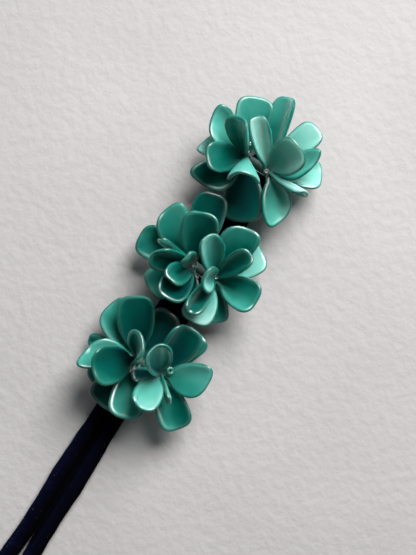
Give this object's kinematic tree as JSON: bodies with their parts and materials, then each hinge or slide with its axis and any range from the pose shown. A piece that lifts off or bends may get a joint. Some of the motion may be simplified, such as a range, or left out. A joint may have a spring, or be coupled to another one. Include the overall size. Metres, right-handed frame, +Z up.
{
  "type": "flower hair stick",
  "caption": "Long padded velvet hair stick: a loop with a slit that the hair is drawn through, with paired flowers of cupped, frosted translucent petals tied along one end.",
  "frame": {"origin": "on the table under the middle of the whole length and width, petals included", "axes": "+X along the stick towards the flowers, +Y across it, +Z up off the table that its flat back rests on"},
  "size_m": [0.2143, 0.0436, 0.0257],
  "materials": {
    "velvet": "short dark navy velvet pile over padding",
    "petal": "frosted translucent teal resin, satin surface, rounded rims",
    "thread": "dark wound thread"
  },
  "bodies": {
    "root": {"stick": "velvet", "end_knots": "thread", "mid_knots": "thread", "low_knots": "thread", "end_left_petal_1": "petal", "end_left_petal_2": "petal", "end_left_petal_3": "petal", "end_left_petal_4": "petal", "end_left_petal_5": "petal", "end_left_petal_6": "petal", "end_left_petal_7": "petal", "end_left_petal_8": "petal", "end_right_petal_1": "petal", "end_right_petal_2": "petal", "end_right_petal_3": "petal", "end_right_petal_4": "petal", "end_right_petal_5": "petal", "end_right_petal_6": "petal", "end_right_petal_7": "petal", "end_right_petal_8": "petal", "mid_left_petal_1": "petal", "mid_left_petal_2": "petal", "mid_left_petal_3": "petal", "mid_left_petal_4": "petal", "mid_left_petal_5": "petal", "mid_left_petal_6": "petal", "mid_left_petal_7": "petal", "mid_left_petal_8": "petal", "mid_left_petal_9": "petal", "mid_left_petal_10": "petal", "mid_left_petal_11": "petal", "mid_right_petal_1": "petal", "mid_right_petal_2": "petal", "mid_right_petal_3": "petal", "mid_right_petal_4": "petal", "mid_right_petal_5": "petal", "mid_right_petal_6": "petal", "mid_right_petal_7": "petal", "mid_right_petal_8": "petal", "mid_right_petal_9": "petal", "low_left_petal_1": "petal", "low_left_petal_2": "petal", "low_left_petal_3": "petal", "low_left_petal_4": "petal", "low_left_petal_5": "petal", "low_left_petal_6": "petal", "low_left_petal_7": "petal", "low_left_petal_8": "petal", "low_left_petal_9": "petal", "low_left_petal_10": "petal", "low_right_petal_1": "petal", "low_right_petal_2": "petal", "low_right_petal_3": "petal", "low_right_petal_4": "petal", "low_right_petal_5": "petal", "low_right_petal_6": "petal", "low_right_petal_7": "petal", "low_right_petal_8": "petal"}
  },
  "joints": []
}
